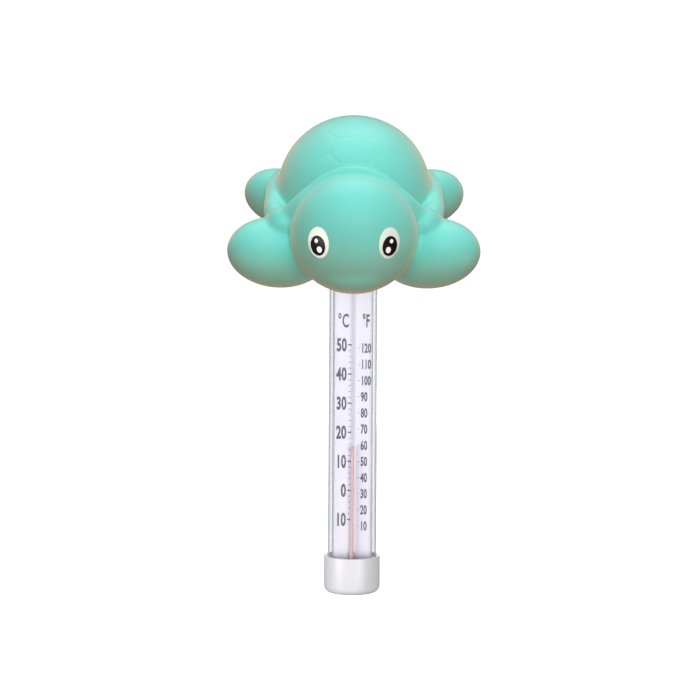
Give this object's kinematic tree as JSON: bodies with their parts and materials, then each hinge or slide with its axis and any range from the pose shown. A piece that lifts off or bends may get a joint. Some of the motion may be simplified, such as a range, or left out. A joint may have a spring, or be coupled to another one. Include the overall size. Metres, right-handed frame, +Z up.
{
  "type": "floating pool thermometer",
  "caption": "Hollow vinyl turtle float carrying a clear tube with a scale plate and a glass spirit thermometer, closed by a weighted push-on cap.",
  "frame": {"origin": "on the tube's axis at the level of the still water the object floats in, 140 mm above the cap's flat bottom", "axes": "+Z up along the tube's axis, -Y the way the turtle looks, +X to the turtle's left"},
  "size_m": [0.0988, 0.108, 0.1915],
  "materials": {
    "float_vinyl": "soft matte vinyl",
    "white_plastic": "satin moulded",
    "nylon": "turned",
    "clear_plastic": "clear extruded tube",
    "scale_print": "printed plate",
    "glass": "drawn glass",
    "spirit": "dyed spirit",
    "rubber": "moulded ring",
    "foam": "closed-cell foam",
    "steel": "turned slug"
  },
  "bodies": {
    "float": {"float_skin": "float_vinyl", "neck_bush": "white_plastic", "neck_seal": "rubber", "swivel_washer": "nylon"},
    "tube": {"tube": "clear_plastic", "tube_top_plug": "white_plastic", "plug_seal": "rubber", "top_cushion": "foam", "scale_plate": "scale_print", "stem_holder": "foam", "plate_foot": "white_plastic", "glass_stem": "glass", "bulb_spirit": "spirit", "spirit_column": "spirit"},
    "level": {"spirit_level": "spirit"},
    "cap": {"end_cap": "white_plastic", "cap_seal": "rubber", "cap_gasket": "rubber", "bulb_cushion": "foam", "ballast_slug": "steel"}
  },
  "joints": [
    {"name": "tube_swivel", "type": "hinge", "parent": "float", "child": "tube", "pos_m": [0, 0, 0], "axis": [0, 0, 1], "continuous": true},
    {"name": "spirit_rise", "type": "slide", "parent": "tube", "child": "level", "axis": [0, 0, 1], "range_m": [-0.0302, 0.0406], "deforming": ["spirit_column"]},
    {"name": "cap_pull", "type": "slide", "parent": "tube", "child": "cap", "axis": [0, 0, -1], "range_m": [0, 0.04]}
  ]
}
